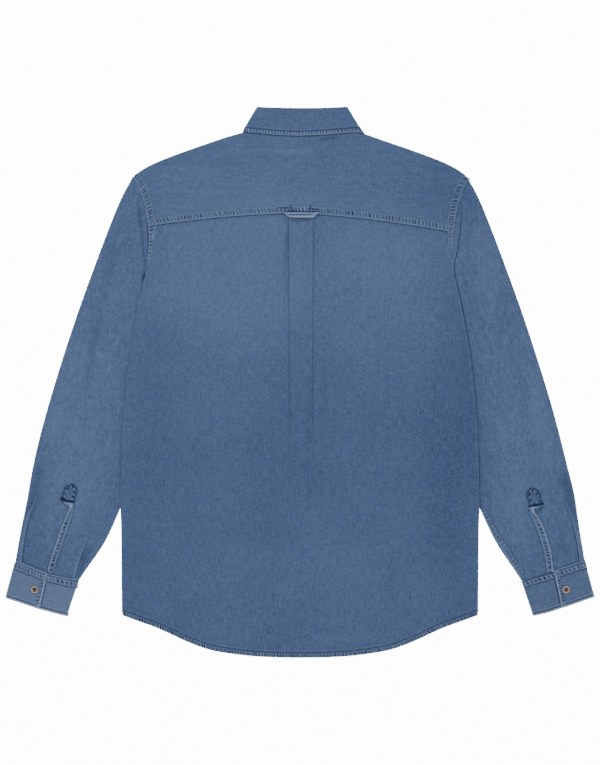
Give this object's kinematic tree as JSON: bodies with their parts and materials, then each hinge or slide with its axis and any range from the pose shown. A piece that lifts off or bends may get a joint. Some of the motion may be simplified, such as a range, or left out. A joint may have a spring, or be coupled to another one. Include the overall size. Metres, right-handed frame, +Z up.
{
  "type": "denim shirt laid flat",
  "caption": "Long-sleeved denim shirt lying on its front with the back up: yoke, box pleat, locker loop, buttoned cuffs, turned-down collar and curved hem.",
  "frame": {"origin": "middle of the flat shirt, on the surface that it lies on", "axes": "+X to the right sleeve as seen with the back up, +Y to the collar, +Z up out of the surface"},
  "size_m": [0.8846, 0.8245, 0.0098],
  "materials": {
    "denim": "washed",
    "thread": "matte",
    "button": "satin"
  },
  "bodies": {
    "root": {"back": "denim", "yoke": "denim", "front_left": "denim", "front_right": "denim", "sleeve_left": "denim", "sleeve_right": "denim", "sleeve_placket_left": "denim", "sleeve_placket_right": "denim", "cuff_left": "denim", "cuff_right": "denim", "collar_stand": "denim", "collar_leaf": "denim", "locker_loop": "denim", "front_button_1": "button", "front_button_2": "button", "front_button_3": "button", "front_button_4": "button", "front_button_5": "button", "front_button_6": "button", "stand_button": "button", "cuff_button_left": "button", "cuff_button_right": "button"}
  },
  "joints": []
}
